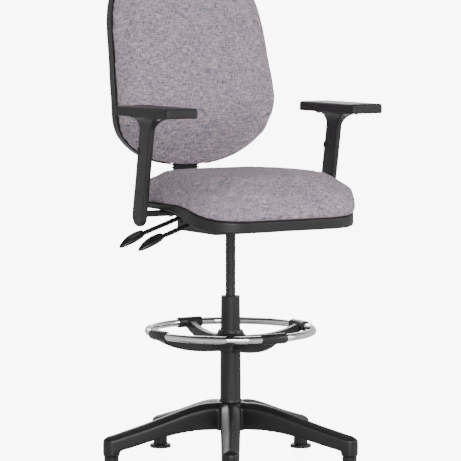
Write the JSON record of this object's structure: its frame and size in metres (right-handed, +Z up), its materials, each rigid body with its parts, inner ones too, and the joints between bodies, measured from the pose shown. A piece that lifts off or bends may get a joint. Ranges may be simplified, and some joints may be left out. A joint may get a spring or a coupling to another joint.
{
  "type": "drafting chair",
  "caption": "Tall draughtsman chair with upholstered seat and back, height-adjustable arms, chromed foot ring and moulded base on glides.",
  "frame": {"origin": "on the floor, under the axis of the gas lift column", "axes": "+Z up; the sitter faces -Y, so the sitter's left is +X"},
  "size_m": [0.7252, 0.7116, 1.3961],
  "materials": {
    "base_nylon": "moulded black nylon, fine grain, satin",
    "glide_plastic": "smooth black plastic glide",
    "steel_zinc": "zinc-plated steel",
    "tube_black": "satin black painted steel tube",
    "sleeve_plastic": "black moulded sleeve",
    "bush_plastic": "natural acetal",
    "ring_chrome": "polished chrome plate",
    "spider_plastic": "black glass-filled nylon, textured",
    "cylinder_black": "satin black cylinder, slightly glossy",
    "mechanism_paint": "black powder coat",
    "spring_steel": "oiled spring steel",
    "plywood": "moulded beech plywood",
    "shell_plastic": "black polypropylene undercover, satin",
    "upholstery": "woven mottled grey-mauve upholstery cloth",
    "lever_steel": "black coated steel rod",
    "lever_rubber": "ribbed black rubber sleeve",
    "paddle_plastic": "smooth glossy black plastic paddle",
    "bellows_rubber": "ribbed black rubber bellows",
    "arm_plastic": "black nylon, fine grain",
    "pad_polyurethane": "soft self-skinned polyurethane",
    "button_plastic": "black push button"
  },
  "bodies": {
    "base": {"star_base": "base_nylon", "glide_feet": "glide_plastic", "glide_stems": "steel_zinc", "gas_outer_tube": "tube_black", "column_sleeve": "sleeve_plastic", "guide_bush": "bush_plastic", "thrust_bearing": "steel_zinc"},
    "piston": {"piston_rod": "steel_zinc", "rod_clip": "spring_steel"},
    "foot_ring": {"foot_ring_tube": "ring_chrome", "foot_ring_spider": "spider_plastic", "foot_ring_collet": "bush_plastic"},
    "seat": {"gas_cylinder": "cylinder_black", "mechanism_housing": "mechanism_paint", "taper_socket": "mechanism_paint", "lever_pivot_pins": "steel_zinc", "recline_pin": "steel_zinc", "recline_spring": "spring_steel", "recline_lock_plates": "spring_steel", "seat_board": "plywood", "seat_shell": "shell_plastic", "seat_cushion": "upholstery", "seat_bolts": "steel_zinc", "seat_tee_nuts": "steel_zinc", "arm_bolts": "steel_zinc", "arm_bracket_left": "mechanism_paint", "arm_bracket_right": "mechanism_paint", "arm_lower_cover_left": "arm_plastic", "arm_lower_cover_right": "arm_plastic"},
    "gas_valve": {"gas_valve_pin": "steel_zinc"},
    "height_lever": {"height_lever_rod": "lever_steel", "height_lever_sleeve": "lever_rubber", "height_lever_paddle": "paddle_plastic"},
    "back_lever": {"back_lever_rod": "lever_steel", "back_lever_sleeve": "lever_rubber", "back_lever_paddle": "paddle_plastic"},
    "back_bar": {"back_bar": "tube_black", "back_bar_bellows": "bellows_rubber"},
    "backrest": {"back_carrier": "spider_plastic", "back_board": "plywood", "back_shell": "shell_plastic", "back_cushion": "upholstery", "back_screws": "steel_zinc"},
    "arm_left": {"arm_shroud_left": "arm_plastic", "arm_pad_left": "pad_polyurethane", "arm_pad_screws_left": "steel_zinc"},
    "arm_right": {"arm_shroud_right": "arm_plastic", "arm_pad_right": "pad_polyurethane", "arm_pad_screws_right": "steel_zinc"},
    "button_left": {"arm_button_left": "button_plastic"},
    "button_right": {"arm_button_right": "button_plastic"}
  },
  "joints": [
    {"name": "seat_swivel", "type": "hinge", "parent": "base", "child": "piston", "pos_m": [0, 0, 0.1], "axis": [0, 0, 1], "continuous": true},
    {"name": "seat_height", "type": "slide", "parent": "piston", "child": "seat", "axis": [0, 0, 1], "range_m": [-0.17, 0]},
    {"name": "foot_ring_height", "type": "slide", "parent": "base", "child": "foot_ring", "axis": [0, 0, 1], "range_m": [0, 0.085]},
    {"name": "height_lever_lift", "type": "hinge", "parent": "seat", "child": "height_lever", "pos_m": [-0.062, -0.058, 0.707], "axis": [0, 1, 0], "range_deg": [0, 5], "stiffness_Nm_per_rad": 6, "springref_deg": -5.73},
    {"name": "valve_press", "type": "slide", "parent": "seat", "child": "gas_valve", "axis": [0, 0, -1], "range_m": [0, 0.0055]},
    {"name": "back_lever_lift", "type": "hinge", "parent": "seat", "child": "back_lever", "pos_m": [-0.062, 0.05, 0.707], "axis": [0, 1, 0], "range_deg": [0, 8]},
    {"name": "back_recline", "type": "hinge", "parent": "seat", "child": "back_bar", "pos_m": [0, 0.095, 0.69], "axis": [-1, 0, 0], "range_deg": [-5, 15]},
    {"name": "back_height", "type": "slide", "parent": "back_bar", "child": "backrest", "axis": [0, 0, 1], "range_m": [0, 0.06]},
    {"name": "arm_height_left", "type": "slide", "parent": "seat", "child": "arm_left", "axis": [0, -0.1762, 0.9843], "range_m": [0, 0.075]},
    {"name": "arm_button_left_press", "type": "slide", "parent": "arm_left", "child": "button_left", "axis": [-1, 0, 0], "range_m": [0, 0.0015], "stiffness_N_per_m": 800},
    {"name": "arm_height_right", "type": "slide", "parent": "seat", "child": "arm_right", "axis": [0, -0.1762, 0.9843], "range_m": [0, 0.075]},
    {"name": "arm_button_right_press", "type": "slide", "parent": "arm_right", "child": "button_right", "axis": [1, 0, 0], "range_m": [0, 0.0015], "stiffness_N_per_m": 800}
  ],
  "couplings": [
    {"joint": "valve_press", "follows": "height_lever_lift", "m_per_rad": 0.06}
  ]
}
